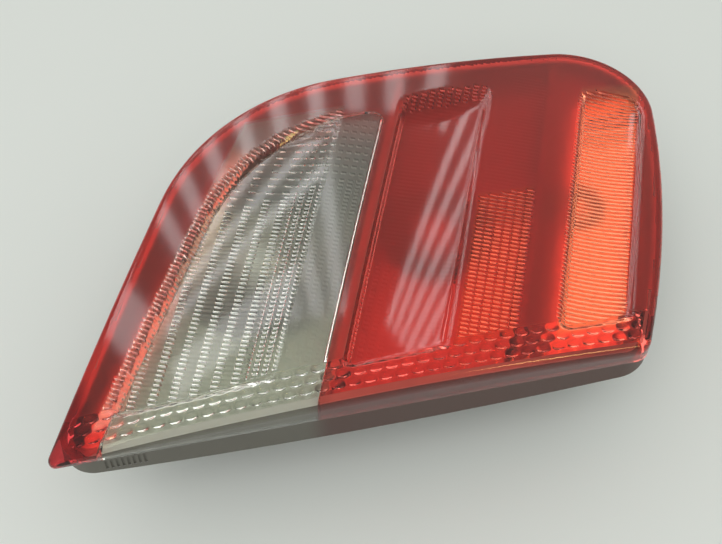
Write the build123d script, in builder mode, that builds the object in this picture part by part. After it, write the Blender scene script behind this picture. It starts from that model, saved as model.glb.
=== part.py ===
"""Tail light cluster for a car's boot lid: two-colour lens, housing, reflectors, bulbs and bulb carrier.

X runs along the lamp's straight lower edge, Y goes up the lamp and +Z points out through the lens.
The origin is the middle of the four mounting studs, on the plane where the lamp seats on the car body.
"""
import os
from math import asin, cos, radians, sin, sqrt, tan

from build123d import *

os.makedirs("parts", exist_ok=True)

# Lens outline seen from the front: four corners, two bowed sides and the corner radii
lower_edge_y = -85.0
tip = (-155.8, lower_edge_y)
heel = (93.7, lower_edge_y)
crest = (152.0, 91.3)
brow = (-67.6, 89.2)
top_bow = 4.1
flank_bow = 8.2
tip_r = 3.0
heel_r = 7.2
crest_r = 39.0
brow_r = 108.0
least_corner_r = 1.5
fillet_share = 0.98

# Lens: crowned face, wall and shoulder
weld_z = 38.0
crown_r = 1100.0
crown_rise = 17.5
lens_wall = 3.0
shoulder_r = 2.5

# Optics: flutes lean with the lamp, and each scoop follows them
flute_angle = 22.3
flute_pitch = 4.0
flute_depth = 0.9
flute_sweep = 20.0
flute_margin = 2.0
scoop_low_y = -71.5
scoop_corner_r = 5.0

# Clear window, beside the left border, and the reversing scoop round it
window_foot_inset = 18.8
window_edge_angle = 30.0
window_low_y = -100.0
window_top_y = 65.5
window_brow_r = 92.0
window_corner_r = 6.0
mullion_left_s = -10.4
reverse_margin = 4.0
reverse_low_s = -71.0
reverse_ridge_s = -30.0
reverse_depth = 5.0

# Fog scoop, right of the mullion
fog_wall_s = -5.3
fog_low_s = 5.0
fog_ridge_s = 39.0
fog_depth = 4.5
fog_top_y = 75.8
fog_top_r = 18.0

# Tail scoop, beside the right border
tail_wall_s = 80.0
tail_low_s = 89.0
tail_ridge_s = 113.3
tail_depth = 4.0
tail_top_y = 63.6
tail_top_r = 16.0
ridge_step = 1.5

# Housing
back_z = 5.0
housing_wall = 2.5
flange_h = 9.0
flange_tip_r = 12.0
flange_heel_r = 16.0
skirt_x = -20.0
skirt_half = 120.0
skirt_drop = 5.0
groove_first_x = -132.0
groove_count = 8
groove_pitch = 2.2
groove_w = 1.0
groove_depth = 0.6
groove_h = 6.5
body_inset = 6.0
body_low_inset = 11.0
body_corner_r = 20.0
back_inset = 10.0
back_low_inset = 20.0
curb_gap = 0.3
curb_t = 1.5
curb_drop = 2.0
divider_t = 2.0
divider_fog_s = (mullion_left_s + fog_wall_s) / 2
divider_tail_s = 65.5
divider_gap = 1.0
divider_drop = 9.0

# Mounting studs, M6, on a rectangle about the origin, and the foam gasket round them
stud_spacing_x = 100.0
stud_spacing_y = 90.0
stud_r = 3.0
stud_length = 22.0
stud_root_r = 4.0
stud_head_r = 5.0
stud_head_t = 3.0
stud_grip = 10.0
boss_r = 7.0
boss_h = 15.0
gasket_margin = 1.0
gasket_w = 4.0
gasket_gap = 1.0

# Bulb carrier: plate on a slot-shaped neck, seal, wells and latches
carrier_x = 12.0
carrier_length = 182.0
carrier_w = 44.0
carrier_t = 3.0
neck_wall = 3.0
neck_drop = 9.5
seal_t = 1.5
well_r = 9.5
well_h = 14.0
bulb_clearance = 0.2
latch_w = 10.0
latch_t = 1.8
latch_reach = 4.0
latch_gap = 0.3
hook_h = 2.5
hook_gap = 0.4
catch_low_z = -2.5
catch_h = 3.2
catch_reach = 1.8
catch_w = 8.5
grip_x = -16.0
grip_y = 2.0
grip_length = 26.0
grip_t = 3.0
grip_h = 8.0

# Bulbs: their places along the carrier, bayonet base and globe
reverse_bulb_inset = 23.0
tail_bulb_inset = 13.0
fog_bulb_offset = 12.0
main_globe_r = 12.5
tail_globe_r = 9.0
base_r = 7.5
base_top_z = 14.0
button_r = 3.2
button_h = 1.5
bulb_foot_z = -5.0
bayonet_pin_r = 1.0
bayonet_pin_reach = 1.4
bayonet_z = 5.0
glass_neck_r = 6.8
glass_neck_h = 3.5

# Reflectors: a flat rim seated on the housing's ledge and a parabolic bowl round each bulb
reflector_t = 1.5
reflector_clearance = 0.4
bowl_land = 1.0
bowl_hole_r = 10.5
bowl_low_z = 12.0

# Contact strips in grooves of the carrier's back, and the plug shroud
strip_w = 4.0
strip_t = 0.8
strip_clearance = 0.2
earth_y = -15.0
feed_y = 19.0
blade_y = 13.0
blade_w = 2.8
blade_length = 9.0
blade_pitch = 6.0
plug_x = 56.0
plug_inner = (25.0, 10.0)
plug_wall = 1.5
plug_depth = 11.0
post_r = 2.0
tongue_top_z = 4.0

# Breather cap
breather_at = (-95.0, -50.0)
breather_r = 6.0
breather_h = 3.5
breather_stem_r = 3.0

# Places worked out from the sizes above
crown_centre = (0.0, 0.0, weld_z + crown_rise - crown_r)
flute_cos = cos(radians(flute_angle))
flute_sin = sin(radians(flute_angle))
flute_across = Vector(flute_cos, -flute_sin, 0)
flange_low_z = weld_z - flange_h
ledge_z = flange_low_z + housing_wall
floor_z = back_z + housing_wall
neck_end_z = back_z - neck_drop
plate_z = neck_end_z - seal_t
plate_back_z = plate_z - carrier_t
above_crown = crown_rise + lens_wall
edge_lean = (brow[0] - tip[0]) / (brow[1] - tip[1])
edge_slant = sqrt(1 + edge_lean**2)
carrier_left_x = carrier_x - carrier_length / 2
carrier_right_x = carrier_x + carrier_length / 2
bulb_xs = {
    "reverse": carrier_left_x + reverse_bulb_inset,
    "fog": carrier_x + fog_bulb_offset,
    "tail": carrier_right_x - tail_bulb_inset,
}
globe_rs = {"reverse": main_globe_r, "fog": main_globe_r, "tail": tail_globe_r}


def outline(inset, low_inset=0, tip_radius=tip_r, heel_radius=heel_r):
    """The lens outline moved in by inset, or by low_inset at its lower edge, with its corners rounded to match."""
    corner_radii = {tip: tip_radius, heel: heel_radius, crest: crest_r, brow: brow_r}
    with BuildSketch() as face:
        with BuildLine():
            Line(tip, heel)
            SagittaArc(heel, crest, -flank_bow)
            SagittaArc(crest, brow, -top_bow)
            Line(brow, tip)
        make_face()
        if inset > 0:
            offset(amount=-inset, kind=Kind.INTERSECTION)
        if low_inset > inset:
            with Locations((0, lower_edge_y + low_inset)):
                Rectangle(4 * crest[0], 4 * crest[1], align=(Align.CENTER, Align.MIN), mode=Mode.INTERSECT)
        for corner, radius in corner_radii.items():
            nearest = face.vertices().sort_by_distance(corner)[0]
            fillet(nearest, max(radius - inset, least_corner_r))
    return face.sketch


def flange_outline(inset):
    """The housing flange's outline, which is rounder than the lens at the tip and the heel, moved in by inset."""
    return outline(inset, 0, flange_tip_r, flange_heel_r)


def flute_x(s, y):
    """X, at height y, of the line that runs along the flutes at distance s across them."""
    return (s + y * flute_sin) / flute_cos


def border_x(inset, y):
    """X, at height y, of the line inside the lens's slanted left edge."""
    return tip[0] + inset * edge_slant + (y - lower_edge_y) * edge_lean


def window_x(y):
    """X, at height y, of the clear window's slanted left edge."""
    return border_x(window_foot_inset, lower_edge_y) + (y - lower_edge_y) * tan(radians(window_edge_angle))


def rounded_face(points, radii, grow):
    """A face with its own radius at each corner, limited by its sides, grown outwards all round."""
    count = len(points)
    sides = [Vector(*points[(i + 1) % count]) - Vector(*points[i]) for i in range(count)]
    bends = [tan(radians(sides[i - 1].get_angle(sides[i])) / 2) for i in range(count)]
    used = [radius * bend for radius, bend in zip(radii, bends)]
    with BuildSketch() as face:
        with BuildLine():
            Polyline(*points, close=True)
        make_face()
        for i, corner in enumerate(points):
            before = sides[i - 1].length - used[i - 1]
            after = sides[i].length - used[(i + 1) % count]
            radius = min(radii[i], fillet_share * min(before, after) / bends[i])
            fillet(face.vertices().sort_by_distance(corner)[0], radius)
        if grow > 0:
            offset(amount=grow)
    return face.sketch


def reverse_x(y):
    """X, at height y, of the reversing scoop's left wall, which follows the window's edge."""
    return window_x(y) - reverse_margin / cos(radians(window_edge_angle))


def scoop_face(name, grow):
    """Plan of one scoop in the lens face."""
    if name == "reverse":
        top_y = window_top_y + reverse_margin
        left_low = reverse_x(scoop_low_y)
        left_top = reverse_x(top_y)
        right_s = mullion_left_s
        radii = (scoop_corner_r, window_brow_r + reverse_margin, scoop_corner_r, scoop_corner_r)
    elif name == "fog":
        left_low = flute_x(fog_wall_s, scoop_low_y)
        left_top = flute_x(fog_wall_s, fog_top_y)
        right_s = fog_ridge_s - ridge_step
        top_y = fog_top_y
        radii = (scoop_corner_r, fog_top_r, scoop_corner_r, scoop_corner_r)
    else:
        left_low = flute_x(tail_wall_s, scoop_low_y)
        left_top = flute_x(tail_wall_s, tail_top_y)
        right_s = tail_ridge_s - ridge_step
        top_y = tail_top_y
        radii = (scoop_corner_r, scoop_corner_r, tail_top_r, scoop_corner_r)
    corners = (
        (left_low, scoop_low_y),
        (left_top, top_y),
        (flute_x(right_s, top_y), top_y),
        (flute_x(right_s, scoop_low_y), scoop_low_y),
    )
    return rounded_face(corners, radii, grow)


scoop_lows = {"reverse": reverse_low_s, "fog": fog_low_s, "tail": tail_low_s}
scoop_ridges = {"reverse": reverse_ridge_s, "fog": fog_ridge_s, "tail": tail_ridge_s}
scoop_depths = {"reverse": reverse_depth, "fog": fog_depth, "tail": tail_depth}


def scoop_floor(name):
    """Round floor of a scoop: its centre circle's place across and out from the crown's centre, and its radius.

    The floor is deepest at the scoop's low line and comes out through the crown at its ridge line.
    """
    low_angle = asin(scoop_lows[name] / crown_r)
    span = asin(scoop_ridges[name] / crown_r) - low_angle
    low_r = crown_r - scoop_depths[name]
    apart = crown_r**2 + low_r**2 - 2 * crown_r * low_r * cos(span)
    floor_r = apart / (2 * (crown_r * cos(span) - low_r))
    return (low_r + floor_r) * sin(low_angle), (low_r + floor_r) * cos(low_angle), floor_r


def scoop(name, grow):
    """Solid between one scoop's round floor and the crown, grown by a wall where asked."""
    centre_s, centre_ring_r, floor_r = scoop_floor(name)
    plan = scoop_face(name, grow)
    with BuildPart() as tool:
        with BuildSketch(Plane.XY.offset(flange_low_z)):
            add(plan)
        extrude(amount=flange_h + above_crown)
        with Locations(Plane(origin=Vector(crown_centre) + flute_across * centre_s, z_dir=flute_across)):
            Torus(centre_ring_r, floor_r + grow, mode=Mode.INTERSECT)
    return tool.part


def flutes(first_s, last_s, wall_at):
    """Row of V grooves that follow the crown, cut upwards into an inner face at radius wall_at(s)."""
    count = int((last_s - first_s) / flute_pitch)
    lean = Vector(0, 0, 1).rotate(Axis((0, 0, 0), tuple(flute_across)), -flute_sweep / 2)
    start = Plane(origin=crown_centre, x_dir=flute_across, z_dir=flute_across.cross(lean))
    last = first_s + count * flute_pitch
    zigzag = []
    for i in range(count):
        s = first_s + i * flute_pitch
        middle = s + flute_pitch / 2
        zigzag.append((s, wall_at(s)))
        zigzag.append((middle, wall_at(middle) + flute_depth))
    zigzag.append((last, wall_at(last)))
    low = min(radius for _, radius in zigzag) - flute_depth
    with BuildPart() as cutter:
        with BuildSketch(start):
            with BuildLine():
                Polyline(*zigzag, (last, low), (first_s, low), close=True)
            make_face()
        revolve(axis=Axis(crown_centre, tuple(flute_across)), revolution_arc=flute_sweep)
    return cutter.part


# Lens blank: crowned outline with scoops, hollow inside, before it is parted into its two colours
lens_outline = outline(0)
cavity_outline = flange_outline(lens_wall)
scoops = [scoop(name, 0) for name in bulb_xs]
scoop_walls = [scoop(name, lens_wall) for name in bulb_xs]

with BuildPart() as lens_cavity:
    with BuildSketch(Plane.XY.offset(weld_z)):
        add(cavity_outline)
    extrude(amount=above_crown)
    with Locations(crown_centre):
        Sphere(crown_r - lens_wall, mode=Mode.INTERSECT)
    add(scoop_walls, mode=Mode.SUBTRACT)

with BuildPart() as lens_blank:
    with BuildSketch(Plane.XY.offset(weld_z)):
        add(lens_outline)
    extrude(amount=above_crown)
    with Locations(crown_centre):
        Sphere(crown_r, mode=Mode.INTERSECT)
    fillet(lens_blank.faces().sort_by(Axis.Z)[-1].edges(), shoulder_r)
    add(scoops, mode=Mode.SUBTRACT)
    add(lens_cavity.part, mode=Mode.SUBTRACT)


# Prism flutes inside the lens, on the crown and on each scoop
def crown_inside(s):
    """Distance of the lens's inner face from the flutes' axis, between the scoops."""
    return sqrt((crown_r - lens_wall) ** 2 - s**2)


def scoop_inside(name):
    """The same under one scoop."""
    centre_s, centre_ring_r, floor_r = scoop_floor(name)
    return lambda s: centre_ring_r - sqrt((floor_r + lens_wall) ** 2 - (s - centre_s) ** 2)


def flute_strip(left_s, right_s, low_y, top_y):
    """Corners of a strip that runs along the flutes."""
    return (
        (flute_x(left_s, low_y), low_y),
        (flute_x(left_s, top_y), top_y),
        (flute_x(right_s, top_y), top_y),
        (flute_x(right_s, low_y), low_y),
    )


def fluted_field(plan, first_s, last_s, inside):
    """V grooves over one plan of the lens's inner face."""
    cutter = flutes(first_s, last_s, inside)
    with BuildPart() as field:
        with BuildSketch(Plane.XY.offset(weld_z)):
            add(plan)
        extrude(amount=above_crown)
        add(cutter, mode=Mode.INTERSECT)
    return field.part


def crown_field(first_s, last_s, top_y):
    """V grooves between two scoops."""
    corners = flute_strip(first_s, last_s, scoop_low_y, top_y)
    plan = rounded_face(corners, (least_corner_r,) * len(corners), 0)
    return fluted_field(plan, first_s, last_s, crown_inside)


def scoop_field(name, first_s):
    """V grooves under one scoop, up to its ridge."""
    return fluted_field(scoop_face(name, 0), first_s, scoop_ridges[name] - flute_margin, scoop_inside(name))


window_field_top_y = window_top_y - window_corner_r
reverse_left_s = reverse_x(scoop_low_y) * flute_cos - scoop_low_y * flute_sin
fields = [
    scoop_field("reverse", reverse_left_s),
    crown_field(reverse_ridge_s + flute_margin, mullion_left_s - flute_margin, window_field_top_y),
    scoop_field("fog", fog_wall_s + flute_margin),
    crown_field(fog_ridge_s + flute_margin, tail_wall_s - lens_wall - flute_margin, tail_top_y),
    scoop_field("tail", tail_wall_s + flute_margin),
]

# The two colours of the lens, parted along the clear window's edge
window_corners = (
    (window_x(window_low_y), window_low_y),
    (window_x(window_top_y), window_top_y),
    (flute_x(mullion_left_s, window_top_y), window_top_y),
    (flute_x(mullion_left_s, window_low_y), window_low_y),
)
window_radii = (least_corner_r, window_brow_r, window_corner_r, least_corner_r)
window_plan = rounded_face(window_corners, window_radii, 0)

with BuildPart() as window:
    with BuildSketch(Plane.XY.offset(weld_z)):
        add(window_plan)
    extrude(amount=above_crown)

with BuildPart() as lens:
    add(lens_blank.part)
    add(fields, mode=Mode.SUBTRACT)

with BuildPart() as lens_clear:
    add(lens.part)
    add(window.part, mode=Mode.INTERSECT)
lens_clear.part.label = "lens_clear"

with BuildPart() as lens_red:
    add(lens.part)
    add(window.part, mode=Mode.SUBTRACT)
lens_red.part.label = "lens_red"


# Housing: flange welded to the lens, tapered body, curb, dividers, neck for the bulb carrier and stud bosses
stud_xs = (-stud_spacing_x / 2, stud_spacing_x / 2)
stud_ys = (-stud_spacing_y / 2, stud_spacing_y / 2)
stud_places = [(x, y) for x in stud_xs for y in stud_ys]
flange_face = flange_outline(0)
skirt_face = flange_outline(housing_wall)
skirt_r = (skirt_half**2 + skirt_drop**2) / (2 * skirt_drop)
groove_middle_x = groove_first_x + groove_pitch * (groove_count - 1) / 2


def body_outline(deeper, inward):
    """The housing's tapered body at the flange, or at its back where deeper, moved inward by a wall."""
    inset = back_inset if deeper else body_inset
    low_inset = back_low_inset if deeper else body_low_inset
    return outline(inset + inward, low_inset + inward, body_corner_r, body_corner_r)


body_face = body_outline(False, 0)
back_face = body_outline(True, 0)
ledge_face = body_outline(False, housing_wall)
floor_face = body_outline(True, housing_wall)
curb_face = flange_outline(lens_wall + curb_gap)
curb_inside = flange_outline(lens_wall + curb_gap + curb_t)
divider_limit = flange_outline(lens_wall + divider_gap)
neck_length = carrier_length - 2 * neck_wall
neck_w = carrier_w - 2 * neck_wall
carrier_ends = {"left": carrier_left_x, "right": carrier_right_x}
outward = {"left": -1, "right": 1}


def stud_shape():
    """Threaded shaft with a thicker root and a round head, which are moulded into the boss."""
    with BuildPart() as shape:
        with BuildSketch(Plane.XY.offset(-stud_length)):
            Circle(stud_r)
        extrude(amount=stud_length)
        with BuildSketch():
            Circle(stud_root_r)
        extrude(amount=stud_grip)
        with BuildSketch(Plane.XY.offset(stud_grip)):
            Circle(stud_head_r)
        extrude(amount=stud_head_t)
    return shape.part


stud = stud_shape()

with BuildPart() as divider_strips:
    for middle_s in (divider_fog_s, divider_tail_s):
        left_s = middle_s - divider_t / 2
        right_s = middle_s + divider_t / 2
        with BuildSketch(Plane.XY.offset(floor_z)):
            with BuildLine():
                Polyline(*flute_strip(left_s, right_s, 2 * lower_edge_y, -2 * lower_edge_y), close=True)
            make_face()
        extrude(amount=weld_z + crown_rise - floor_z)

with BuildPart() as divider_tops:
    with BuildSketch(Plane.XY.offset(ledge_z)):
        add(divider_limit)
    extrude(amount=weld_z + crown_rise - ledge_z)
    add(divider_strips.part, mode=Mode.INTERSECT)
    with Locations(crown_centre):
        Sphere(crown_r - divider_drop, mode=Mode.INTERSECT)

with BuildPart() as housing_cavity:
    with BuildSketch(Plane.XY.offset(floor_z)):
        add(floor_face)
    with BuildSketch(Plane.XY.offset(ledge_z)):
        add(ledge_face)
    loft()
    add(divider_strips.part, mode=Mode.SUBTRACT)
    with BuildSketch(Plane.XY.offset(ledge_z)):
        add(cavity_outline)
    extrude(amount=weld_z - ledge_z)

with BuildPart() as flange_skirt:
    with BuildSketch(Plane.XY.offset(flange_low_z - skirt_drop)):
        add(flange_face)
        add(skirt_face, mode=Mode.SUBTRACT)
    extrude(amount=skirt_drop)
    with Locations(Location((skirt_x, 0, flange_low_z - skirt_drop + skirt_r), (90, 0, 0))):
        Cylinder(skirt_r, 4 * crest[1], mode=Mode.INTERSECT)

# The curb is a thin wall on the ledge, which stands up behind the lens's sides and hides the weld
with BuildPart() as curb:
    with BuildSketch(Plane.XY.offset(ledge_z)):
        add(curb_face)
        add(curb_inside, mode=Mode.SUBTRACT)
    extrude(amount=weld_z + above_crown - ledge_z)
    with Locations(crown_centre):
        Sphere(crown_r - lens_wall - curb_drop, mode=Mode.INTERSECT)
    with BuildSketch(Plane.XY.offset(ledge_z)):
        add(cavity_outline)
        add(curb_inside, mode=Mode.SUBTRACT)
    extrude(amount=weld_z - ledge_z)

with BuildPart() as housing:
    with BuildSketch(Plane.XY.offset(back_z)):
        add(back_face)
    with BuildSketch(Plane.XY.offset(flange_low_z)):
        add(body_face)
    loft()
    with BuildSketch(Plane.XY.offset(flange_low_z)):
        add(flange_face)
    extrude(amount=flange_h)
    add(flange_skirt.part)
    add(housing_cavity.part, mode=Mode.SUBTRACT)
    with Locations((groove_middle_x, lower_edge_y, flange_low_z + flange_h / 2)):
        with GridLocations(groove_pitch, 0, groove_count, 1):
            Box(groove_w, 2 * groove_depth, groove_h, mode=Mode.SUBTRACT)
    with BuildSketch(Plane.XY.offset(neck_end_z)):
        with Locations((carrier_x, 0)):
            SlotOverall(carrier_length, carrier_w)
    extrude(amount=neck_drop)
    with BuildSketch():
        with Locations(*stud_places):
            Circle(boss_r)
    extrude(amount=boss_h)
    add(curb.part)
    add(divider_tops.part)
    for side, end_x in carrier_ends.items():
        with BuildSketch(Plane.XY.offset(catch_low_z)):
            with Locations((end_x + outward[side] * (catch_reach - neck_wall) / 2, 0)):
                Rectangle(catch_reach + neck_wall, catch_w)
        extrude(amount=catch_h)
    with BuildSketch(Plane.XY.offset(neck_end_z)):
        with Locations((carrier_x, 0)):
            SlotOverall(neck_length, neck_w)
    extrude(amount=floor_z - neck_end_z, mode=Mode.SUBTRACT)
    with Locations(*stud_places):
        add(stud, mode=Mode.SUBTRACT)
    with BuildSketch(Plane.XY.offset(back_z)):
        with Locations(breather_at):
            Circle(breather_stem_r)
    extrude(amount=housing_wall, mode=Mode.SUBTRACT)
housing.part.label = "housing"

with BuildPart() as breather_cap:
    with BuildSketch(Plane.XY.offset(back_z - breather_h)):
        with Locations(breather_at):
            Circle(breather_r)
    extrude(amount=breather_h)
    with BuildSketch(Plane.XY.offset(back_z)):
        with Locations(breather_at):
            Circle(breather_stem_r)
    extrude(amount=housing_wall)
breather_cap.part.label = "breather_cap"

# Foam gasket between the lamp's back and the car body
def gasket_face(inward):
    """The housing's back moved inward, widened where the carrier and its latches come near the edge."""
    room = latch_reach + gasket_gap + gasket_margin + gasket_w - inward
    with BuildSketch() as face:
        add(body_outline(True, inward))
        with Locations((carrier_x, 0)):
            SlotOverall(carrier_length + 2 * room, carrier_w + 2 * (room - latch_reach))
    return face.sketch


gasket_outer = gasket_face(gasket_margin)
gasket_inner = gasket_face(gasket_margin + gasket_w)
with BuildPart() as panel_gasket:
    with BuildSketch():
        add(gasket_outer)
        add(gasket_inner, mode=Mode.SUBTRACT)
    extrude(amount=back_z)
panel_gasket.part.label = "panel_gasket"

# Reflectors, one in each chamber
reflector_face = flange_outline(lens_wall + curb_gap + curb_t + reflector_clearance)
rim_z = ledge_z + reflector_t
divider_side = divider_t / 2 + reflector_clearance
chamber_ss = {
    "reverse": (2 * tip[0], divider_fog_s - divider_side),
    "fog": (divider_fog_s + divider_side, divider_tail_s - divider_side),
    "tail": (divider_tail_s + divider_side, 2 * crest[0]),
}

# Each bowl is as wide as the walls round its bulb allow
flank_lean = (crest[0] - heel[0]) / (crest[1] - heel[1])
flank_x = heel[0] - heel[1] * flank_lean
left_room = (bulb_xs["reverse"] - border_x(0, 0)) / edge_slant - body_inset - housing_wall
right_room = (flank_x - bulb_xs["tail"]) / sqrt(1 + flank_lean**2) - body_inset - housing_wall
bulb_ss = {name: x * flute_cos for name, x in bulb_xs.items()}
bowl_rooms = {
    "reverse": min(left_room, chamber_ss["reverse"][1] - bulb_ss["reverse"]),
    "fog": min(bulb_ss["fog"] - chamber_ss["fog"][0], chamber_ss["fog"][1] - bulb_ss["fog"]),
    "tail": min(bulb_ss["tail"] - chamber_ss["tail"][0], right_room),
}
bowl_rim_rs = {name: room - reflector_t - bowl_land for name, room in bowl_rooms.items()}


def bowl_curve(rim_r):
    """Points of a parabola, as a Bezier curve, from the bulb's hole out to the bowl's rim."""
    steepness = (rim_z - bowl_low_z) / (rim_r**2 - bowl_hole_r**2)
    bend_z = bowl_low_z + steepness * bowl_hole_r * (rim_r - bowl_hole_r)
    return ((bowl_hole_r, bowl_low_z), ((bowl_hole_r + rim_r) / 2, bend_z), (rim_r, rim_z))


def reflector(name):
    """Flat rim seated on the housing's ledge, with a parabolic bowl round the bulb."""
    rim_r = bowl_rim_rs[name]
    inner = bowl_curve(rim_r)
    outer = [(r + reflector_t, z - reflector_t) for r, z in inner]
    left_s, right_s = chamber_ss[name]
    bulb_plane = Plane(origin=(bulb_xs[name], 0, 0), x_dir=(1, 0, 0), z_dir=(0, -1, 0))
    with BuildPart() as shell:
        with BuildSketch(Plane.XY.offset(ledge_z)):
            add(reflector_face)
            with BuildLine():
                Polyline(*flute_strip(left_s, right_s, 2 * lower_edge_y, -2 * lower_edge_y), close=True)
            make_face(mode=Mode.INTERSECT)
            with Locations((bulb_xs[name], 0)):
                Circle(rim_r, mode=Mode.SUBTRACT)
        extrude(amount=reflector_t)
        with BuildSketch(bulb_plane):
            with BuildLine():
                Bezier(*inner)
                Polyline(inner[-1], (outer[-1][0], rim_z), outer[-1])
                Bezier(*outer)
                Line(outer[0], inner[0])
            make_face()
        revolve(axis=Axis((bulb_xs[name], 0, 0), (0, 0, 1)))
    return shell.part


reflectors = {name: reflector(name) for name in bulb_xs}

# Bulbs: bayonet base with its contact button, and a sealed glass globe
def bulb_base(name):
    """Brass-coloured base with two bayonet pins and the button that meets the feed post."""
    with BuildPart() as base:
        with BuildSketch(Plane.XY.offset(bulb_foot_z + button_h)):
            with Locations((bulb_xs[name], 0)):
                Circle(base_r)
        extrude(amount=base_top_z - bulb_foot_z - button_h)
        with BuildSketch(Plane.XY.offset(bulb_foot_z)):
            with Locations((bulb_xs[name], 0)):
                Circle(button_r)
        extrude(amount=button_h)
        with BuildSketch(Plane.YZ.offset(bulb_xs[name] - base_r - bayonet_pin_reach)):
            with Locations((0, bayonet_z)):
                Circle(bayonet_pin_r)
        extrude(amount=2 * (base_r + bayonet_pin_reach))
    return base.part


def bulb_glass(name):
    """Short neck on the base and a round globe."""
    globe_r = globe_rs[name]
    neck_top_z = base_top_z + glass_neck_h
    globe_z = neck_top_z + sqrt(globe_r**2 - glass_neck_r**2)
    with BuildPart() as glass:
        with BuildSketch(Plane.XY.offset(base_top_z)):
            with Locations((bulb_xs[name], 0)):
                Circle(glass_neck_r)
        extrude(amount=globe_z - base_top_z)
        with Locations((bulb_xs[name], 0, globe_z)):
            Sphere(globe_r)
    return glass.part


bases = {name: bulb_base(name) for name in bulb_xs}
glasses = {name: bulb_glass(name) for name in bulb_xs}

# Contact strips: feed strips to each bulb, the earth bar, and their plug blades
blade_xs = {"fog": plug_x - 1.5 * blade_pitch, "reverse": plug_x - 0.5 * blade_pitch}
blade_xs["earth"] = plug_x + 0.5 * blade_pitch
blade_xs["tail"] = plug_x + 1.5 * blade_pitch
feed_routes = {
    "reverse": (
        (bulb_xs["reverse"], 0),
        (bulb_xs["reverse"], feed_y),
        (blade_xs["reverse"], feed_y),
        (blade_xs["reverse"], blade_y),
    ),
    "fog": ((bulb_xs["fog"], 0), (bulb_xs["fog"], blade_y), (blade_xs["fog"], blade_y)),
    "tail": ((bulb_xs["tail"], 0), (bulb_xs["tail"], blade_y), (blade_xs["tail"], blade_y)),
}
strip_top_z = plate_back_z + strip_t
tongue_y = -base_r - strip_t / 2


def feed_plan(name, grow):
    """Plan of one feed strip, grown for its groove."""
    with BuildSketch() as plan:
        with BuildLine():
            Polyline(*feed_routes[name])
        trace(line_width=strip_w + 2 * grow)
        with Locations(feed_routes[name][0], feed_routes[name][-1]):
            Rectangle(strip_w + 2 * grow, strip_w + 2 * grow)
    return plan.sketch


def earth_plan(grow):
    """Plan of the earth bar with a branch to each bulb and a link to the plug."""
    width = strip_w + 2 * grow
    first_x = bulb_xs["reverse"]
    last_x = bulb_xs["tail"]
    branch_h = tongue_y - earth_y
    with BuildSketch() as plan:
        with Locations(((first_x + last_x) / 2, earth_y)):
            Rectangle(last_x - first_x + width, width)
        for x in bulb_xs.values():
            with Locations((x, earth_y + branch_h / 2)):
                Rectangle(width, branch_h + strip_t + 2 * grow)
        with Locations((blade_xs["earth"], (earth_y + blade_y) / 2)):
            Rectangle(width, blade_y - earth_y + width)
    return plan.sketch


def feed_contact(name):
    """Strip, plug blade and the post under the bulb's button."""
    plan = feed_plan(name, 0)
    with BuildPart() as contact:
        with BuildSketch(Plane.XY.offset(plate_back_z)):
            add(plan)
        extrude(amount=strip_t)
        with BuildSketch(Plane.XY.offset(strip_top_z)):
            with Locations((bulb_xs[name], 0)):
                Circle(post_r)
        extrude(amount=bulb_foot_z - strip_top_z)
        with BuildSketch(Plane.XY.offset(plate_back_z - blade_length)):
            with Locations((blade_xs[name], blade_y)):
                Rectangle(blade_w, strip_t)
        extrude(amount=blade_length)
    return contact.part


contacts = {name: feed_contact(name) for name in bulb_xs}
earth_face = earth_plan(0)

with BuildPart() as contact_earth:
    with BuildSketch(Plane.XY.offset(plate_back_z)):
        add(earth_face)
    extrude(amount=strip_t)
    with BuildSketch(Plane.XY.offset(strip_top_z)):
        for x in bulb_xs.values():
            with Locations((x, tongue_y)):
                Rectangle(strip_w, strip_t)
    extrude(amount=tongue_top_z - strip_top_z)
    with BuildSketch(Plane.XY.offset(plate_back_z - blade_length)):
        with Locations((blade_xs["earth"], blade_y)):
            Rectangle(blade_w, strip_t)
    extrude(amount=blade_length)
contact_earth.part.label = "contact_earth"

# Bulb carrier: plate, bulb wells, latches at both ends, grip rib and plug shroud
groove_plans = [feed_plan(name, strip_clearance) for name in bulb_xs]
groove_plans.append(earth_plan(strip_clearance))
bulb_places = [(x, 0) for x in bulb_xs.values()]
tongue_places = [(x, tongue_y) for x in bulb_xs.values()]
well_inner_r = base_r + bulb_clearance
well_top_z = plate_z + well_h
slot_low_z = bayonet_z - bayonet_pin_r
hook_low_z = catch_low_z + catch_h + latch_gap

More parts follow.
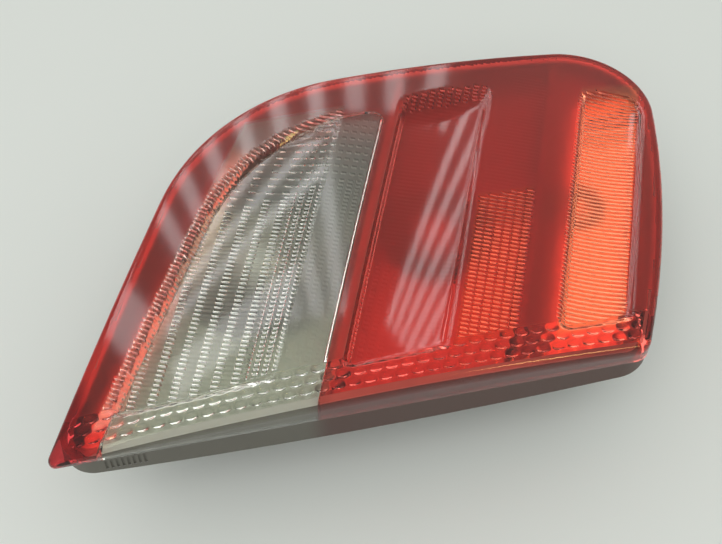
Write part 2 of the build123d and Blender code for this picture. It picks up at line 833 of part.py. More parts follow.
with BuildPart() as bulb_carrier:
    with BuildSketch(Plane.XY.offset(plate_back_z)):
        with Locations((carrier_x, 0)):
            SlotOverall(carrier_length, carrier_w)
    extrude(amount=carrier_t)
    with BuildSketch(Plane.XY.offset(plate_z)):
        with Locations(*bulb_places):
            Circle(well_r)
            Circle(well_inner_r, mode=Mode.SUBTRACT)
    extrude(amount=well_h)
    with BuildSketch(Plane.XY.offset(slot_low_z)):
        with Locations(*bulb_places):
            Rectangle(2 * well_r, 2 * (bayonet_pin_r + bulb_clearance))
    extrude(amount=well_top_z - slot_low_z, mode=Mode.SUBTRACT)
    with BuildSketch(Plane.XY.offset(plate_back_z)):
        with Locations(*tongue_places):
            Rectangle(strip_w + 2 * strip_clearance, strip_t + 2 * strip_clearance)
    extrude(amount=carrier_t, mode=Mode.SUBTRACT)
    with BuildSketch(Plane.XY.offset(plate_z)):
        with Locations(*tongue_places):
            Rectangle(strip_w + 2 * strip_clearance, 2 * (well_r - base_r))
    extrude(amount=well_h, mode=Mode.SUBTRACT)
    with BuildSketch(Plane.XY.offset(plate_back_z)):
        with Locations(*bulb_places):
            Circle(post_r + strip_clearance)
    extrude(amount=carrier_t, mode=Mode.SUBTRACT)
    for side, end_x in carrier_ends.items():
        out = outward[side]
        arm_x = end_x + out * (latch_reach - latch_t / 2)
        with BuildSketch(Plane.XY.offset(plate_back_z)):
            with Locations((end_x + out * (latch_reach - neck_wall) / 2, 0)):
                Rectangle(latch_reach + neck_wall, latch_w)
        extrude(amount=carrier_t)
        with BuildSketch(Plane.XY.offset(plate_back_z)):
            with Locations((arm_x, 0)):
                Rectangle(latch_t, latch_w)
        extrude(amount=hook_low_z + hook_h - plate_back_z)
        with BuildSketch(Plane.XY.offset(hook_low_z)):
            with Locations((end_x + out * (latch_reach + hook_gap) / 2, 0)):
                Rectangle(latch_reach - hook_gap, latch_w)
        extrude(amount=hook_h)
    with BuildSketch(Plane.XY.offset(plate_back_z - grip_h)):
        with Locations((grip_x, grip_y)):
            Rectangle(grip_t, grip_length)
    extrude(amount=grip_h)
    with BuildSketch(Plane.XY.offset(plate_back_z - plug_depth)):
        with Locations((plug_x, blade_y)):
            Rectangle(plug_inner[0] + 2 * plug_wall, plug_inner[1] + 2 * plug_wall)
            Rectangle(*plug_inner, mode=Mode.SUBTRACT)
    extrude(amount=plug_depth)
    with BuildSketch(Plane.XY.offset(plate_back_z)):
        add(groove_plans)
    extrude(amount=strip_t, mode=Mode.SUBTRACT)
bulb_carrier.part.label = "bulb_carrier"

with BuildPart() as carrier_seal:
    with BuildSketch(Plane.XY.offset(plate_z)):
        with Locations((carrier_x, 0)):
            SlotOverall(carrier_length, carrier_w)
            SlotOverall(neck_length, neck_w, mode=Mode.SUBTRACT)
    extrude(amount=seal_t)
carrier_seal.part.label = "carrier_seal"

# Studs, one in each boss
with BuildPart() as mounting_studs:
    with Locations(*stud_places):
        add(stud)

# One STEP file for each piece
for piece in (
    lens_red, lens_clear, housing, breather_cap, panel_gasket, bulb_carrier, carrier_seal, contact_earth,
):
    export_step(piece.part, f"parts/{piece.part.label}.step")
for name in bulb_xs:
    named_parts = {
        f"reflector_{name}": reflectors[name],
        f"bulb_{name}_base": bases[name],
        f"bulb_{name}_glass": glasses[name],
        f"contact_{name}": contacts[name],
    }
    for label, part in named_parts.items():
        part.label = label
        export_step(part, f"parts/{label}.step")
for number, solid in enumerate(mounting_studs.part.solids(), start=1):
    solid.label = f"mounting_stud_{number}"
    export_step(solid, f"parts/{solid.label}.step")
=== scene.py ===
"""Looks for the tail light cluster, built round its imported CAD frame."""
from cmath import phase, rect
from math import cos, floor, pi, radians, sin, sqrt, tan

import bmesh
import bpy
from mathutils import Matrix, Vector


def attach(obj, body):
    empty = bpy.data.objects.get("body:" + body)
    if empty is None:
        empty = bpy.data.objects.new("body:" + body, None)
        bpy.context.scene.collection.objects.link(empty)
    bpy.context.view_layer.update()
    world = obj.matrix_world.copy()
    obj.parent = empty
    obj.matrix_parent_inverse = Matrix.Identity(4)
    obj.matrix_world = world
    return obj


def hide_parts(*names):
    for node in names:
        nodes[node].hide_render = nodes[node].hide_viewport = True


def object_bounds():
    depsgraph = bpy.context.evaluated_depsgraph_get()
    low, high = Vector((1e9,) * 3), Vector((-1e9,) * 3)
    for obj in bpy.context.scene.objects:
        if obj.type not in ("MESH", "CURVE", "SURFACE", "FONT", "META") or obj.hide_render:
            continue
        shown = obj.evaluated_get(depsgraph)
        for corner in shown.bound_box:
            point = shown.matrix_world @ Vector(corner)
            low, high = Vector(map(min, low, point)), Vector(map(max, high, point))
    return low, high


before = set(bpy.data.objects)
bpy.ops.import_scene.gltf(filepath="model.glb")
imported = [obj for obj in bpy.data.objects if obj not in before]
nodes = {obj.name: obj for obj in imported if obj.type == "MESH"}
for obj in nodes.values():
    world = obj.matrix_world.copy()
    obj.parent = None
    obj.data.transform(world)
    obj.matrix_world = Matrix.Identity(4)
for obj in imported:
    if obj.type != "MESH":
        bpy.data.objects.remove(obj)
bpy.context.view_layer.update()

# Housing
# The tray behind the lens, injection moulded in a warm grey plastic with a fine grained skin.
# Its flange is hot-plate welded to the lens, and its dividers keep the three lights apart.
millimetre = 0.001


class Flow:
    """One output of a material's node tree, so that sums on values read as plain expressions."""

    def __init__(self, finish, socket):
        self.finish = finish
        self.socket = socket

    def math(self, operation, *others):
        inputs = dict(enumerate((self,) + others))
        return self.finish.node("ShaderNodeMath", {"operation": operation}, inputs)

    def __add__(self, other):
        return self.math("ADD", other)

    def __mul__(self, other):
        return self.math("MULTIPLY", other)

    def __sub__(self, other):
        return self.math("SUBTRACT", other)

    def __rsub__(self, other):
        return (self * -1.0) + other

    def __gt__(self, limit):
        return self.math("GREATER_THAN", limit)

    def __lt__(self, limit):
        return self.math("LESS_THAN", limit)

    __radd__ = __add__
    __rmul__ = __mul__


class Finish:
    """A procedural material. One method adds any node, and the others are short ways to the usual ones."""

    def __init__(self, name):
        self.material = bpy.data.materials.new(name)
        self.material.use_nodes = True
        self.tree = self.material.node_tree
        self.shader = self.tree.nodes["Principled BSDF"]
        self.place = self.node("ShaderNodeTexCoord", output="Object")

    def node(self, kind, settings={}, inputs={}, output=0):
        made = self.tree.nodes.new(kind)
        for key, value in settings.items():
            setattr(made, key, value)
        for key, value in inputs.items():
            self.feed(made.inputs[key], value)
        return Flow(self, made.outputs[output])

    def feed(self, socket, value):
        if isinstance(value, Flow):
            self.tree.links.new(value.socket, socket)
        else:
            socket.default_value = value

    def surface(self, values):
        for key, value in values.items():
            self.feed(self.shader.inputs[key], value)

    def axes(self, vector):
        """The x, y and z of a vector."""
        parts = self.node("ShaderNodeSeparateXYZ", {}, {0: vector})
        return [Flow(self, socket) for socket in parts.socket.node.outputs]

    def rise(self, value, start, end):
        """A mask that goes smoothly from 0 to 1 between two places, in millimetres."""
        limits = {"Value": value, "From Min": start * millimetre, "From Max": end * millimetre}
        return self.node("ShaderNodeMapRange", {"interpolation_type": "SMOOTHSTEP"}, limits)

    def mix(self, factor, low, high):
        """A colour that goes from one tone to another as the factor rises."""
        low, high = [tone if isinstance(tone, Flow) else (*tone, 1.0) for tone in (low, high)]
        inputs = {"Factor": factor, "A": low, "B": high}
        return self.node("ShaderNodeMix", {"data_type": "RGBA"}, inputs, "Result")

    def noise(self, scale, detail=3.0, roughness=0.55):
        inputs = {"Vector": self.place, "Scale": scale, "Detail": detail, "Roughness": roughness}
        return self.node("ShaderNodeTexNoise", {}, inputs)

    def bump(self, height, strength, distance):
        inputs = {"Strength": strength, "Distance": distance, "Height": height}
        return self.node("ShaderNodeBump", {}, inputs)

    def dress(self, *pieces):
        for piece in pieces:
            piece.data.materials.clear()
            piece.data.materials.append(self.material)


housing_grey = Finish("housing_grey")
housing_mottle = housing_grey.noise(60.0)
housing_grain = housing_grey.noise(2600.0, 2.0)
housing_x, housing_y, housing_z = housing_grey.axes(housing_grey.place)
housing_up = housing_grey.axes(housing_grey.node("ShaderNodeNewGeometry", output="Normal"))[2]
# Painted light and shade: under the red part of the lens the flange is painted darker and red, as if lit by
# red light through the lens.
painted_red_light = housing_grey.rise(housing_x, -52.0, -40.0)
painted_red_light = painted_red_light * (housing_z > 24.0 * millimetre) * (housing_y < -75.0 * millimetre)
flange_tone = housing_grey.mix(
    painted_red_light,
    housing_grey.mix(housing_mottle, (0.085, 0.078, 0.062), (0.13, 0.12, 0.10)),
    housing_grey.mix(housing_mottle, (0.065, 0.034, 0.028), (0.095, 0.05, 0.042)),
)
# Painted shade: the ledge and the tray's inside are painted darker towards the right and along the lower
# edge.
lower_ledge_shade = (housing_y < -78.0 * millimetre) * 0.55
ledge_shade = housing_grey.rise(housing_x, -20.0, 80.0).math("MAXIMUM", lower_ledge_shade)
ledge_tone = housing_grey.mix(ledge_shade, (0.42, 0.42, 0.38), (0.18, 0.17, 0.165))
housing_grey.surface({
    "Base Color": housing_grey.mix(housing_up > 0.4, flange_tone, ledge_tone),
    "Roughness": housing_mottle * 0.2 + 0.35,
    "Normal": housing_grey.bump(housing_grain, 0.2, 0.0002),
})
housing_grey.dress(nodes["housing"])

# Mounting studs
# Four M6 steel studs with a zinc plating, held by their heads in the housing's bosses.
stud_zinc = Finish("stud_zinc")
zinc_spangle = stud_zinc.noise(500.0)
stud_zinc.surface({
    "Base Color": stud_zinc.mix(zinc_spangle, (0.55, 0.53, 0.47), (0.72, 0.70, 0.64)),
    "Metallic": 1.0,
    "Roughness": zinc_spangle * 0.25 + 0.22,
})
stud_zinc.dress(*[nodes[f"mounting_stud_{number}"] for number in range(1, 5)])

# Panel gasket
# A ring of closed-cell foam stuck to the housing's back, which keeps water out of the boot.
gasket_foam = Finish("gasket_foam")
foam_cells = gasket_foam.node("ShaderNodeTexVoronoi", {}, {"Vector": gasket_foam.place, "Scale": 900.0})
gasket_foam.surface({
    "Base Color": gasket_foam.mix(foam_cells, (0.012, 0.012, 0.012), (0.05, 0.05, 0.048)),
    "Roughness": 0.92,
    "Normal": gasket_foam.bump(foam_cells, 0.5, 0.0004),
})
gasket_foam.dress(nodes["panel_gasket"])

# Bulb carrier, its seal and the breather cap
# The carrier is moulded in grey plastic and clips to the housing's neck over a soft rubber seal.
# The breather cap on the housing's back is of the same rubber.
carrier_grey = Finish("carrier_grey")
carrier_mottle = carrier_grey.noise(90.0)
carrier_grain = carrier_grey.noise(3000.0, 2.0)
carrier_grey.surface({
    "Base Color": carrier_grey.mix(carrier_mottle, (0.30, 0.30, 0.29), (0.38, 0.38, 0.37)),
    "Roughness": carrier_mottle * 0.2 + 0.4,
    "Normal": carrier_grey.bump(carrier_grain, 0.25, 0.0002),
})
carrier_grey.dress(nodes["bulb_carrier"])
seal_rubber = Finish("seal_rubber")
rubber_bloom = seal_rubber.noise(220.0)
seal_rubber.surface({
    "Base Color": seal_rubber.mix(rubber_bloom, (0.014, 0.014, 0.014), (0.04, 0.04, 0.041)),
    "Roughness": rubber_bloom * 0.2 + 0.65,
})
seal_rubber.dress(nodes["carrier_seal"], nodes["breather_cap"])

# Contact strips
# Brass strip, stamped and pressed into grooves of the carrier, with blades for the plug.
contact_brass = Finish("contact_brass")
brass_tarnish = contact_brass.noise(120.0)
contact_brass.surface({
    "Base Color": contact_brass.mix(brass_tarnish, (0.50, 0.34, 0.13), (0.74, 0.56, 0.28)),
    "Metallic": 1.0,
    "Roughness": brass_tarnish * 0.25 + 0.2,
})
contact_brass.dress(*[nodes[f"contact_{name}"] for name in ("reverse", "fog", "tail", "earth")])

# Bulbs
# Bayonet bulbs: a pressed brass base with a nickel finish and a blown globe of pearl glass.
# Their tones are painted light: each globe is made paler or darker so that it is about as pale as the
# reflector round it.
base_nickel = Finish("base_nickel")
nickel_haze = base_nickel.noise(200.0)
base_nickel.surface({
    "Base Color": base_nickel.mix(nickel_haze, (0.55, 0.49, 0.38), (0.70, 0.65, 0.55)),
    "Metallic": 1.0,
    "Roughness": nickel_haze * 0.2 + 0.18,
})
# Painted light: one tone per globe, set to match the reflector round it.
for light, painted_globe_tone in (("reverse", 0.45), ("fog", 0.44), ("tail", 0.99)):
    bulb_glass = Finish(f"bulb_{light}_glass")
    glass_ripple = bulb_glass.noise(60.0)
    bulb_glass.surface({
        "Base Color": bulb_glass.mix(glass_ripple, (painted_globe_tone - 0.04,) * 3, (painted_globe_tone,) * 3),
        "Roughness": glass_ripple * 0.1 + 0.3,
        "Transmission Weight": 0.15,
        "IOR": 1.45,
    })
    bulb_glass.dress(nodes[f"bulb_{light}_glass"])
    base_nickel.dress(nodes[f"bulb_{light}_base"])

# Reflectors
# Thin plastic bowls with a vacuum-coated aluminium face, seated on the housing's ledge.
# Their colour is painted light and shade: each reflector has its own brightness, graded from top to bottom
# and into the bowls, paler just left of the window, with painted shade round the lit field.
flute_lean = radians(22.3)
flute_cos = cos(flute_lean)
flute_sin = sin(flute_lean)
window_lean = radians(30.0)
window_foot_x = -134.73
lower_edge_y = -85.0
painted_shade_tone = (0.12, 0.108, 0.108)
window_side_tone = (0.80, 0.76, 0.70)


def flute_distance(x, y):
    """Distance of a place across the flutes."""
    return x * flute_cos - y * flute_sin


def window_distance(x, y):
    """Level distance of a place from the window's slanted left edge, less than zero to the left of it."""
    return x - (y - lower_edge_y * millimetre) * tan(window_lean) - window_foot_x * millimetre


def paint_reflector_light(light, top_tone, low_tone, bowl_tone, unlit_tone, top_y, right_s, left_s=None):
    """Paints light on a reflector up to a height and between two flutes, or from the window's edge to one
    flute, with painted shade round it.
    """
    painted_reflector = Finish(f"reflector_{light}")
    ripple = painted_reflector.noise(45.0)
    x, y, z = painted_reflector.axes(painted_reflector.place)
    s = flute_distance(x, y)
    # Painted light and shade: tones graded by height and into the bowls, and paler just left of the window.
    lit_tone = painted_reflector.mix(painted_reflector.rise(y, 45.0, -70.0), top_tone, low_tone)
    lit_tone = painted_reflector.mix(painted_reflector.rise(z, 33.0, 25.0), lit_tone, bowl_tone)
    field = painted_reflector.rise(y, top_y, top_y - 4.0) * painted_reflector.rise(s, right_s, right_s - 2.0)
    if left_s is None:
        from_edge = window_distance(x, y)
        field = field * painted_reflector.rise(from_edge, -13.0, -11.0)
        lit_tone = painted_reflector.mix(painted_reflector.rise(from_edge, -2.0, -4.0), lit_tone, window_side_tone)
    else:
        field = field * painted_reflector.rise(s, left_s, left_s + 2.0)
    painted_reflector.surface({
        "Base Color": painted_reflector.mix(field * (ripple * 0.3 + 0.85), unlit_tone, lit_tone),
        "Metallic": 0.5,
        "Roughness": ripple * 0.2 + 0.35,
        "Normal": painted_reflector.bump(ripple, 0.1, 0.002),
    })
    painted_reflector.dress(nodes[f"reflector_{light}"])


paint_reflector_light(
    "reverse", top_tone=(0.025, 0.027, 0.022), low_tone=(0.24, 0.25, 0.21), bowl_tone=(0.15, 0.15, 0.13),
    unlit_tone=painted_shade_tone, top_y=68.0, right_s=-10.0)
paint_reflector_light(
    "fog", top_tone=(0.18, 0.165, 0.155), low_tone=(0.48, 0.45, 0.43), bowl_tone=(0.42, 0.40, 0.37),
    unlit_tone=painted_shade_tone, top_y=77.0, right_s=63.0, left_s=-7.0)
paint_reflector_light(
    "tail", top_tone=(0.93, 0.91, 0.88), low_tone=(0.95, 0.93, 0.90), bowl_tone=(0.97, 0.95, 0.92),
    unlit_tone=(0.21, 0.19, 0.19), top_y=66.0, right_s=109.0, left_s=77.0)

# Lens
# One moulding in two shots of acrylic, red with a clear window, welded to the housing's flange.
# Its outer face is smooth, with three scoops, and its inner face carries rows of prism bricks.
weld_z = 38.0
crown_r = 1100.0
crown_rise = 17.5
lens_wall = 3.0
shoulder_r = 2.5
shoulder_rings = (0.15, 0.55, 1.1, 1.7, 2.5, lens_wall, lens_wall + 0.05)
weld_margin = 0.02
tip = complex(-155.8, lower_edge_y)
heel = complex(93.7, lower_edge_y)
crest = complex(152.0, 91.3)
brow = complex(-67.6, 89.2)
straight = 0.0001
arc_error = 0.02
fillet_rounds = 200
far_outside = 8.0
scoop_low_y = -71.5
window_top_y = 65.5
window_right_s = -10.4
flute_normal = Vector((flute_cos, -flute_sin, 0))
flute_run = Vector((flute_sin, flute_cos, 0))


def across(point):
    """Distance of a point across the flutes."""
    return flute_distance(point.real, point.imag)


def along(point):
    """Distance of a point along the flutes."""
    return point.real * flute_sin + point.imag * flute_cos


def flute_point(s, y):
    """The point at height y on the line along the flutes at distance s across them."""
    return complex((s + y * flute_sin) / flute_cos, y)


def window_point(margin, y):
    """The point at height y on the window's slanted left edge, moved outwards by a margin."""
    edge_x = window_foot_x + (y - lower_edge_y) * tan(window_lean)
    return complex(edge_x - margin / cos(window_lean), y)


def arc_points(middle, start, end):
    """Points on an arc from its start up to, but without, its end."""
    spoke = start - middle
    turn = phase((end - middle) / spoke)
    steps = max(1, round(abs(turn) / (2 * sqrt(2 * arc_error / abs(spoke)))))
    return [middle + spoke * rect(1, turn * k / steps) for k in range(steps)]


def rounded_loop(corners, bows, radii):
    """Points round a shape with bowed sides and rounded corners, anticlockwise."""
    circles = []
    for i, corner in enumerate(corners):
        chord = corners[(i + 1) % len(corners)] - corner
        radius = (abs(chord) ** 2 / 4 + bows[i] ** 2) / (2 * bows[i])
        circles.append((corner + chord / 2 + 1j * chord / abs(chord) * (radius - bows[i]), radius))
    fillets = []
    for i, corner in enumerate(corners):
        pair = (circles[i - 1], circles[i])
        centre = corner
        for _ in range(fillet_rounds):
            for middle, radius in pair:
                centre = middle + (centre - middle) / abs(centre - middle) * (radius - radii[i])
        ends = [middle + (centre - middle) / abs(centre - middle) * radius for middle, radius in pair]
        fillets.append((centre, *ends))
    loop = []
    for i, (centre, start, end) in enumerate(fillets):
        next_start = fillets[(i + 1) % len(fillets)][1]
        loop += arc_points(centre, start, end) + arc_points(circles[i][0], end, next_start)
    return loop


def depth_inside(loop, point):
    """How far a point lies inside a convex loop, less than zero outside it and not worked out far outside."""
    least = 1e9
    for i, corner in enumerate(loop):
        side = corner - loop[i - 1]
        least = min(least, (side.conjugate() * (point - corner)).imag / abs(side))
        if least < -far_outside:
            break
    return least


def smooth_step(value):
    """Goes smoothly from 0 to 1 as a value does, and stays there beyond."""
    value = min(max(value, 0.0), 1.0)
    return value * value * (3 - 2 * value)


def slanted_loop(left_low, left_top, right_s, radii):
    """A plan with a level foot and top, whose right side runs along the flutes."""
    corners = (left_low, flute_point(right_s, left_low.imag), flute_point(right_s, left_top.imag), left_top)
    return rounded_loop(corners, (straight,) * 4, radii)


outline = ((tip, heel, crest, brow), (straight, 8.2, 4.1, straight))
lens_loop = rounded_loop(*outline, (3.0, 7.2, 39.0, 108.0))
flange_loop = rounded_loop(*outline, (12.0, 16.0, 39.0, 108.0))
window_loop = slanted_loop(
    window_point(0, -100.0), window_point(0, window_top_y), window_right_s, (1.5, 1.5, 6.0, 92.0))
reverse_scoop = {
    "low": -71.0, "ridge": -30.0, "depth": 5.0, "wall": 4.0, "top_y": 69.5, "top_run": 16.0,
    "loop": slanted_loop(
        window_point(4.0, scoop_low_y), window_point(4.0, 69.5), window_right_s, (5.0, 5.0, 5.0, 96.0)),
}
fog_scoop = {
    "low": 5.0, "ridge": 39.0, "depth": 4.5, "wall": 3.5, "top_y": 75.8, "top_run": 20.0,
    "loop": slanted_loop(
        flute_point(-5.3, scoop_low_y), flute_point(-5.3, 75.8), 37.5, (5.0, 5.0, 5.0, 18.0)),
}
tail_scoop = {
    "low": 89.0, "ridge": 113.3, "depth": 4.0, "wall": 3.0, "top_y": 63.6, "top_run": 18.0,
    "loop": slanted_loop(
        flute_point(80.0, scoop_low_y), flute_point(80.0, 63.6), 111.8, (5.0, 5.0, 16.0, 5.0)),
}


def outer_z(point):
    """Height of the lens's outer face before its shoulder is rounded."""
    z = weld_z + crown_rise - crown_r + sqrt(crown_r**2 - abs(point) ** 2)
    s = across(point)
    for scoop in (reverse_scoop, fog_scoop, tail_scoop):
        inside = depth_inside(scoop["loop"], point)
        if inside > 0:
            share = (s - scoop["low"]) / (scoop["ridge"] - scoop["low"])
            hollow = scoop["depth"] * max(1 - share * share, 0.0)
            end_rise = smooth_step((scoop["top_y"] - point.imag) / scoop["top_run"])
            z -= hollow * smooth_step(inside / scoop["wall"]) * end_rise
    return z


# The lens's prisms: pillows along its lower edge, and above them bricks in rows across the flutes.
plain_rim = 4.0
pillow_low_y = -79.5
pillow_top_y = -66.0
pillow_w = 6.6
pillow_l = 4.5
pillow_h = 1.05
pillow_steps = 10
brick_w = 4.0
brick_l = 2.2
brick_columns = range(-40, 35)
brick_rows = range(-69, 69)
brick_cuts = (0.0, 0.15, 0.55, 0.7)
rounding = 1e-6
tooth_end = 0.56
tooth_h = 0.63
tooth_taper = 0.0013
block_middle = 0.35
block_half_w = 0.275
block_side = 0.1
roof_h = 0.8
roof_middles = (-11.2, 81.0)
roof_top_y = window_top_y - 5.0
window_overlap = 0.3
window_dashes_y = 25.0
window_plain_s = -30.0
window_blocks_s = -42.0
window_plain_share = 0.4
window_band_share = 0.3
window_column = (0.1, 0.75)
salmon_w = 6.0
fog_oval_y = 66.0
fog_blocks_y = -20.0
fog_blocks_s = 12.0
fog_blocks_share = 0.35
faint_share = 0.1
tail_right_s = 108.0
grid_left_s = 39.0
grid_right_s = 63.0
grid_top_y = 5.0
grid_line = 0.01
grid_line_share = 0.5


def brick_place(distance, size):
    """The number of the brick at a distance, and the share of that brick that lies before it."""
    number = floor(distance / size + rounding)
    return number, distance / size - number


def roof(s):
    """Height of the two roof prisms that run along the flutes, beside the window and the tail light."""
    return max(0.0, *[roof_h - abs(s - middle) for middle in roof_middles])


def pillow(point):
    """Height of the round pillows, whose rows are half a pillow out of step."""
    row = floor((point.imag - pillow_low_y) / pillow_l)
    u = (point.real / pillow_w + 0.5 * (row % 2)) % 1 - 0.5
    v = ((point.imag - pillow_low_y) / pillow_l) % 1 - 0.5
    return pillow_h * max(0.0, 1 - 4 * (u**2 + v**2))


def optic(point, edge):
    """Thickness that the prisms add to the inner face."""
    y = point.imag
    if edge < plain_rim or y < pillow_low_y:
        return 0.0
    if y < pillow_top_y:
        return pillow(point)
    s = across(point)
    column, u = brick_place(s, brick_w)
    row, v = brick_place(along(point), brick_l)
    tooth = v / tooth_end if v < tooth_end + rounding else (1 - v) / (1 - tooth_end)
    tooth *= tooth_h - tooth_taper * (y - scoop_low_y)
    block = tooth * smooth_step((block_half_w - abs(u - block_middle)) / block_side)
    inside_window = depth_inside(window_loop, point)
    if inside_window > -window_overlap:
        if y < roof_top_y and roof(s) > 0:
            return roof(s)
        if y > window_dashes_y and row % 2:
            return 0.0
        if s > window_plain_s:
            return window_plain_share * block
        if s > window_blocks_s:
            return block
        if column % 2:
            return window_band_share * tooth
        return tooth if window_column[0] < u < window_column[1] else 0.0
    if inside_window > -salmon_w and s < window_plain_s:
        return tooth
    if depth_inside(fog_scoop["loop"], point) > 0:
        if y > fog_oval_y:
            return block
        return fog_blocks_share * block if y < fog_blocks_y and s < fog_blocks_s else faint_share * tooth
    if depth_inside(tail_scoop["loop"], point) > 0 and s < tail_right_s:
        return max(tooth, roof(s))
    if grid_left_s < s < grid_right_s:
        if y >= grid_top_y:
            return faint_share * tooth
        return grid_line_share * tooth if min(u, 1 - u) < grid_line else tooth
    return 0.0


# The lens's two meshes: one flat sheet is cut into cells, shared out by colour, thickened and shaped.
sheet_low_y = -90.0
sheet_top_y = 100.0
cut_snap = 0.002
seam_reach = 3.0
seam_merge = 0.01


def cut(sheet, cells, normal, distance):
    """Cuts some of a sheet's cells along a line."""
    edges = {edge for cell in cells for edge in cell.edges}
    bmesh.ops.bisect_plane(
        sheet, geom=[*edges, *cells], dist=cut_snap, plane_co=normal * distance, plane_no=normal)


def cells_between(sheet, low_y, high_y):
    """The cells of a sheet whose middles lie in a level strip."""
    return [cell for cell in sheet.faces if low_y < cell.calc_center_median().y < high_y]


def lens_sheet():
    """The lens's plan, cut into cells along its pillows, its flutes and the window's edge."""
    sheet = bmesh.new()
    face = sheet.faces.new([sheet.verts.new((point.real, point.imag, 0)) for point in lens_loop])
    reached = 0.0
    for ring in shoulder_rings:
        bmesh.ops.inset_individual(sheet, faces=[face], thickness=ring - reached, use_even_offset=True)
        reached = ring
    right = Vector((1, 0, 0))
    up = Vector((0, 1, 0))
    cut(sheet, sheet.faces[:], up, pillow_top_y)
    lower = []
    for k in range(round((pillow_top_y - pillow_low_y) / pillow_l * pillow_steps)):
        lower.append((up, pillow_low_y + pillow_l / pillow_steps * k))
    for k in range(round((heel.real - tip.real) / pillow_w * pillow_steps)):
        lower.append((right, tip.real + pillow_w / pillow_steps * k))
    for normal, distance in lower:
        cut(sheet, cells_between(sheet, sheet_low_y, pillow_top_y), normal, distance)
    upper = []
    for middle in roof_middles:
        upper += [(flute_normal, middle + side) for side in (-roof_h, 0.0, roof_h)]
    for column in brick_columns:
        upper += [(flute_normal, (column + share) * brick_w) for share in brick_cuts]
    for row in brick_rows:
        upper += [(flute_run, (row + share) * brick_l) for share in (0.0, tooth_end)]
    for normal, distance in upper:
        cut(sheet, cells_between(sheet, pillow_top_y, sheet_top_y), normal, distance)
    for i, corner in enumerate(window_loop):
        side = corner - window_loop[i - 1]
        near = []
        for cell in sheet.faces:
            offset = (complex(*cell.calc_center_median().xy) - corner) / side * abs(side)
            if abs(offset.imag) < seam_reach and -abs(side) - seam_reach < offset.real < seam_reach:
                near.append(cell)
        normal = Vector((side.imag, -side.real, 0)).normalized()
        cut(sheet, near, normal, normal.dot(Vector((corner.real, corner.imag, 0))))
    return sheet


def lens_piece(name, in_window):
    """One colour of the lens: its part of the sheet, thickened and shaped."""
    shape = lens_cells.copy()
    others = []
    for cell in shape.faces:
        inside = depth_inside(window_loop, complex(*cell.calc_center_median().xy)) > 0
        if inside != in_window:
            others.append(cell)
    bmesh.ops.delete(shape, geom=others, context="FACES")
    bmesh.ops.remove_doubles(shape, verts=shape.verts[:], dist=seam_merge)
    made = bmesh.ops.extrude_face_region(shape, geom=shape.faces[:], use_keep_orig=True)
    bottom_verts = {item for item in made["geom"] if isinstance(item, bmesh.types.BMVert)}
    for vert in shape.verts:
        point = complex(*vert.co.xy)
        edge = depth_inside(lens_loop, point)
        z = outer_z(point)
        if vert in bottom_verts:
            if min(edge, depth_inside(flange_loop, point)) < lens_wall + weld_margin:
                vert.co.z = weld_z
            else:
                vert.co.z = z - lens_wall - optic(point, edge)
        else:
            if edge < shoulder_r:
                z -= shoulder_r - sqrt(max(shoulder_r**2 - (shoulder_r - edge) ** 2, 0))
            vert.co.z = z
    bmesh.ops.recalc_face_normals(shape, faces=shape.faces[:])
    for cell in shape.faces:
        outer = not any(vert in bottom_verts for vert in cell.verts)
        cell.smooth = outer or cell.calc_center_median().y < pillow_top_y
    bmesh.ops.scale(shape, vec=(millimetre,) * 3, verts=shape.verts[:])
    mesh = bpy.data.meshes.new(name)
    shape.to_mesh(mesh)
    shape.free()
    piece = bpy.data.objects.new(name, mesh)
    bpy.context.collection.objects.link(piece)
    return piece


lens_cells = lens_sheet()
red_lens = lens_piece("red_lens", False)
clear_lens = lens_piece("clear_lens", True)
lens_cells.free()

# The lens's two plastics. The red one carries painted light: paler in front of the tail light and beside the
# window, and more orange over the prism grid; it is also deeper red at its tip.
polish = 0.07
spark_grain = 0.48
acrylic_ior = 1.49


def moulded_roughness(finish):
    """Polished outside, on the prisms' long faces and on the pillows, with fine spark grain on the rest."""
    face = finish.node("ShaderNodeNewGeometry", output="Normal")
    outward = 1.0 - finish.node("ShaderNodeNewGeometry", output="Backfacing") * 2.0
    lean = {}
    for name, direction in (("along", flute_run), ("across", flute_normal)):
        inputs = {0: face, 1: direction}
        lean[name] = finish.node("ShaderNodeVectorMath", {"operation": "DOT_PRODUCT"}, inputs, "Value")
    up = finish.axes(face)[2] * outward
    y = finish.axes(finish.place)[1]
    grain = (up < -0.5) * (lean["along"] * outward > -0.22)
    grain = grain * (lean["across"].math("ABSOLUTE") < 0.4)
    grain = grain * (y > (pillow_top_y - 0.2) * millimetre)
    return grain * spark_grain + polish


red_acrylic = Finish("red_acrylic")
rise = red_acrylic.rise
red_x, red_y, red_z = red_acrylic.axes(red_acrylic.place)
red_s = flute_distance(red_x, red_y)
red_edge = window_distance(red_x, red_y)
# Painted light: these fields make the red more orange over the grid, paler in front of the tail light and
# pale salmon beside the window.
grid_field = rise(red_s, grid_left_s - 0.5, grid_left_s + 0.5)
grid_field = grid_field * rise(red_s, grid_right_s + 0.5, grid_right_s - 0.5)
grid_field = grid_field * rise(red_y, grid_top_y + 1.0, grid_top_y - 1.0) * rise(red_y, -71.0, -69.0)
tail_field = rise(red_s, 79.0, 81.0) * rise(red_s, tail_right_s + 0.5, tail_right_s - 1.0)
tail_field = tail_field * rise(red_y, -74.0, -71.0) * rise(red_y, 67.0, 63.0)
salmon_field = rise(red_edge, -7.5, -6.5) * rise(red_s, window_plain_s + 1.0, window_plain_s - 1.0)
salmon_field = salmon_field * rise(red_y, -76.0, -73.0) * rise(red_y, 72.5, 71.5)
tip_field = rise(red_x, -134.0, -142.0)
red_tone = red_acrylic.mix(red_acrylic.noise(18.0), (0.94, 0.125, 0.1), (0.98, 0.16, 0.125))
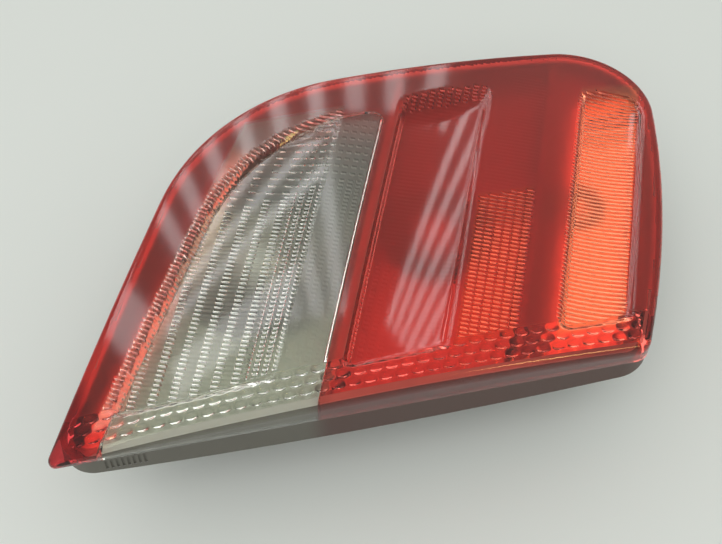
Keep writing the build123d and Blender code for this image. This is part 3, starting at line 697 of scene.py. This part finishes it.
red_tone = red_acrylic.mix(grid_field, red_tone, (1.0, 0.17, 0.085))
red_tone = red_acrylic.mix(tail_field, red_tone, (1.0, 0.38, 0.21))
red_tone = red_acrylic.mix(salmon_field, red_tone, (1.0, 0.68, 0.60))
red_tone = red_acrylic.mix(tip_field, red_tone, (0.55, 0.035, 0.04))
red_acrylic.surface({
    "Base Color": red_tone,
    "Roughness": moulded_roughness(red_acrylic),
    "Transmission Weight": 1.0,
    "IOR": acrylic_ior,
})
red_acrylic.dress(red_lens)
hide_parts("lens_red")
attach(red_lens, "root")

clear_acrylic = Finish("clear_acrylic")
clear_tones = ((0.88, 0.89, 0.82), (0.92, 0.93, 0.86))
clear_acrylic.surface({
    "Base Color": clear_acrylic.mix(clear_acrylic.noise(18.0), *clear_tones),
    "Roughness": moulded_roughness(clear_acrylic),
    "Transmission Weight": 1.0,
    "IOR": acrylic_ior,
})
clear_acrylic.dress(clear_lens)
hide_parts("lens_clear")
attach(clear_lens, "root")

# Table top and light
# A pale matt table in a pale room, which is brighter for what is seen through the lens.
# Rows of long ceiling lights and a warm lamp show in the polish, and a soft light fills in from the front.
table_half = 3.0
floor_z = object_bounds()[0][2]
table = bmesh.new()
bmesh.ops.create_grid(table, x_segments=1, y_segments=1, size=table_half)
bmesh.ops.translate(table, vec=(0, 0, floor_z), verts=table.verts[:])
table_mesh = bpy.data.meshes.new("table_top")
table.to_mesh(table_mesh)
table.free()
table_top = bpy.data.objects.new("table_top", table_mesh)
bpy.context.collection.objects.link(table_top)
table_white = Finish("table_white")
table_white.surface({
    "Base Color": table_white.mix(table_white.noise(1.2), (0.80, 0.82, 0.79), (0.84, 0.86, 0.83)),
    "Roughness": 0.6,
})
table_white.dress(table_top)

room = bpy.data.worlds.new("room")
room.use_nodes = True
room_light = room.node_tree.nodes["Background"]
room_light.inputs["Color"].default_value = (0.97, 1.0, 0.96, 1.0)
room_paths = room.node_tree.nodes.new("ShaderNodeLightPath")
room_start = room.node_tree.nodes.new("ShaderNodeValue")
room_start.outputs[0].default_value = 0.68
room_level = room_start.outputs[0]
for ray, change in (("Is Glossy Ray", -0.18), ("Is Transmission Ray", 1.22)):
    step = room.node_tree.nodes.new("ShaderNodeMath")
    step.operation = "MULTIPLY_ADD"
    step.inputs[1].default_value = change
    room.node_tree.links.new(room_paths.outputs[ray], step.inputs[0])
    room.node_tree.links.new(room_level, step.inputs[2])
    room_level = step.outputs[0]
room.node_tree.links.new(room_level, room_light.inputs["Strength"])
bpy.context.scene.world = room

look_at = Vector((-0.01367, -0.01515, 0.038))


def soft_light(name, distance, heading, elevation, width, height, energy):
    """A flat light that faces the lamp from the given direction, in degrees."""
    light = bpy.data.lights.new(name, "AREA")
    light.shape = "RECTANGLE"
    light.size = width
    light.size_y = height
    light.energy = energy
    toward = Vector((
        sin(radians(heading)) * cos(radians(elevation)),
        cos(radians(heading)) * cos(radians(elevation)),
        sin(radians(elevation)),
    ))
    holder = bpy.data.objects.new(name, light)
    holder.location = look_at + toward * distance
    holder.rotation_euler = toward.to_track_quat("Z", "Y").to_euler()
    bpy.context.collection.objects.link(holder)
    return holder


# Each ceiling light has a heading, an elevation, a width and a height in degrees, and a brightness.
ceiling_distance = 8.0
ceiling_lights = [(heading, 43.0, 1.7, 36.0, 4.6) for heading in (-13.5, -9.5, -5.5, -1.5, 2.5, 6.5)]
ceiling_lights += [(heading, 34.0, 1.8, 9.0, 3.4) for heading in (10.5, 14.5, 18.5)]
ceiling_lights.append((-25.0, 50.0, 6.5, 22.0, 3.8))
for number, (heading, elevation, wide, tall, brightness) in enumerate(ceiling_lights):
    width = ceiling_distance * radians(wide) * cos(radians(elevation))
    height = ceiling_distance * radians(tall)
    energy = brightness * pi * width * height
    ceiling_light = soft_light(
        f"ceiling_light_{number}", ceiling_distance, heading, elevation, width, height, energy)
    ceiling_light.visible_diffuse = False
warm_lamp = soft_light("warm_lamp", 2.5, 145.0, 50.0, 0.35, 1.2, 14.0)
warm_lamp.data.color = (1.0, 0.72, 0.25)
warm_lamp.visible_diffuse = False
front_fill = soft_light("front_fill", 2.0, -160.0, 55.0, 1.4, 1.4, 10.0)
front_fill.visible_glossy = False

# Camera
# Stands where the photograph was taken from, above the lamp's lower edge.
camera_data = bpy.data.cameras.new("camera")
camera_data.sensor_width = 36.0
camera_data.lens = 60.91
camera = bpy.data.objects.new("camera", camera_data)
camera.location = (-0.0808, -0.3317, 0.4691)
camera.rotation_euler = (Vector(camera.location) - look_at).to_track_quat("Z", "Y").to_euler()
bpy.context.collection.objects.link(camera)
bpy.context.scene.camera = camera

bpy.context.scene.view_settings.view_transform = "Standard"
